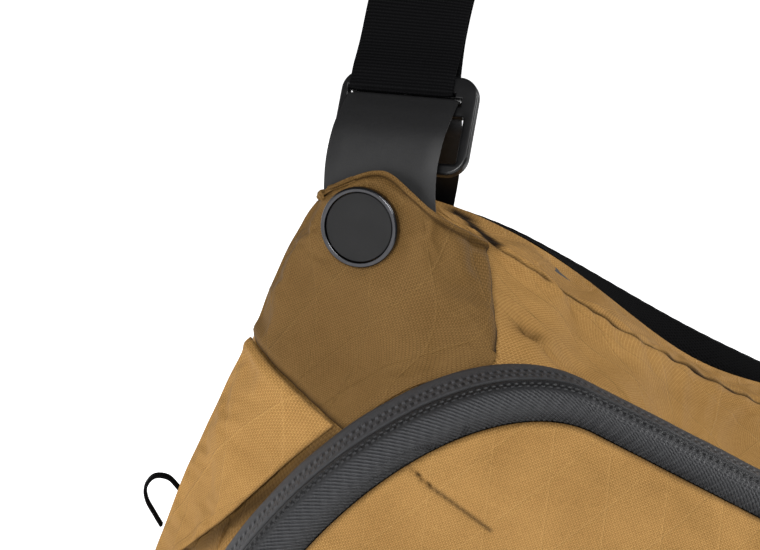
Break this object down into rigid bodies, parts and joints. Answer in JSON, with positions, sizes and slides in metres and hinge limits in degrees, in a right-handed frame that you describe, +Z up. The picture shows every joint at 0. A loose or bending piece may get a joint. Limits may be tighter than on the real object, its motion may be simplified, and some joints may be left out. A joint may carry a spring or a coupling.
{
  "type": "sling bag",
  "caption": "Landscape sling bag with a zipped front lid, folded corner wings, riveted strap tabs, buckle frames and an adjustable padded shoulder strap.",
  "frame": {"origin": "middle of the base at floor level, on the left-right symmetry plane", "axes": "+X to the wearer's right in the front view, -Y out of the front lid, +Z up"},
  "size_m": [0.3753, 0.2431, 0.4789],
  "materials": {
    "shell_fabric": "woven laminate with raised diagonal reinforcing yarns",
    "zip_tape": "coated water-resistant zipper tape, semi-matte",
    "coated_tab": "smooth rubber-coated fabric, satin",
    "pad_cover": "plain dark weave over foam",
    "webbing": "ribbed woven webbing",
    "binding": "folded woven edge tape",
    "moulded_buckle": "fine matte mould texture",
    "dark_metal": "dark plated, polished edge",
    "disc_inlay": "matte dark cap",
    "air_mesh": "three-layer spacer mesh",
    "foam": "closed-cell foam",
    "lining": "plain woven lining",
    "stiffener": "flexible sheet"
  },
  "bodies": {
    "root": {"body_shell": "shell_fabric", "back_gusset": "air_mesh", "side_padding": "foam", "rear_binding": "binding", "back_foam": "foam", "back_mesh": "air_mesh", "base_board": "stiffener", "inner_pocket": "lining", "pod_base": "shell_fabric", "zip_tape_body": "zip_tape", "wing_upper_left": "shell_fabric", "wing_lower_left": "shell_fabric", "anchor_tab_left": "coated_tab", "disc_rim_left": "dark_metal", "disc_inlay_left": "disc_inlay", "disc_post_left": "dark_metal", "disc_washer_left": "dark_metal", "gear_loop_left": "webbing", "wing_upper_right": "shell_fabric", "wing_lower_right": "shell_fabric", "anchor_tab_right": "coated_tab", "disc_rim_right": "dark_metal", "disc_inlay_right": "disc_inlay", "disc_post_right": "dark_metal", "disc_washer_right": "dark_metal", "gear_loop_right": "webbing"},
    "lid": {"front_panel": "shell_fabric", "zip_tape_lid": "zip_tape"},
    "slider_left": {"zip_slider_left": "dark_metal"},
    "slider_right": {"zip_slider_right": "dark_metal"},
    "pull_left": {"zip_pull_left": "coated_tab"},
    "pull_right": {"zip_pull_right": "coated_tab"},
    "strap": {"shoulder_webbing": "webbing", "shoulder_pad": "pad_cover", "shoulder_pad_mesh": "air_mesh", "pad_keeper_left": "webbing", "pad_keeper_right": "webbing", "strap_frame_left": "moulded_buckle", "strap_frame_right": "moulded_buckle"},
    "glide": {"tri_glide": "moulded_buckle"}
  },
  "joints": [
    {"name": "strap_swing", "type": "hinge", "parent": "root", "child": "strap", "pos_m": [0, 0.009, 0.2529], "axis": [1, 0, 0], "range_deg": [-75, 125], "deforming": ["anchor_tab_left", "anchor_tab_right"]},
    {"name": "lid_open", "type": "hinge", "parent": "root", "child": "lid", "pos_m": [0, -0.0604, 0.0103], "axis": [1, 0, 0], "range_deg": [0, 60]},
    {"name": "slider_left_travel", "type": "slide", "parent": "lid", "child": "slider_left", "axis": [-1, 0, 0], "range_m": [0, 0.094]},
    {"name": "slider_right_travel", "type": "slide", "parent": "lid", "child": "slider_right", "axis": [0.8447, 0, -0.5353], "range_m": [0, 0.015]},
    {"name": "pull_left_swing", "type": "hinge", "parent": "slider_left", "child": "pull_left", "pos_m": [0.052, -0.053, 0.2114], "axis": [-1, 0, 0], "range_deg": [0, 120]},
    {"name": "pull_right_swing", "type": "hinge", "parent": "slider_right", "child": "pull_right", "pos_m": [0.066, -0.053, 0.2073], "axis": [-1, 0, 0], "range_deg": [0, 120]},
    {"name": "glide_travel", "type": "slide", "parent": "strap", "child": "glide", "axis": [-0.1819, 0.5403, 0.8216], "range_m": [-0.012, 0.012]}
  ]
}
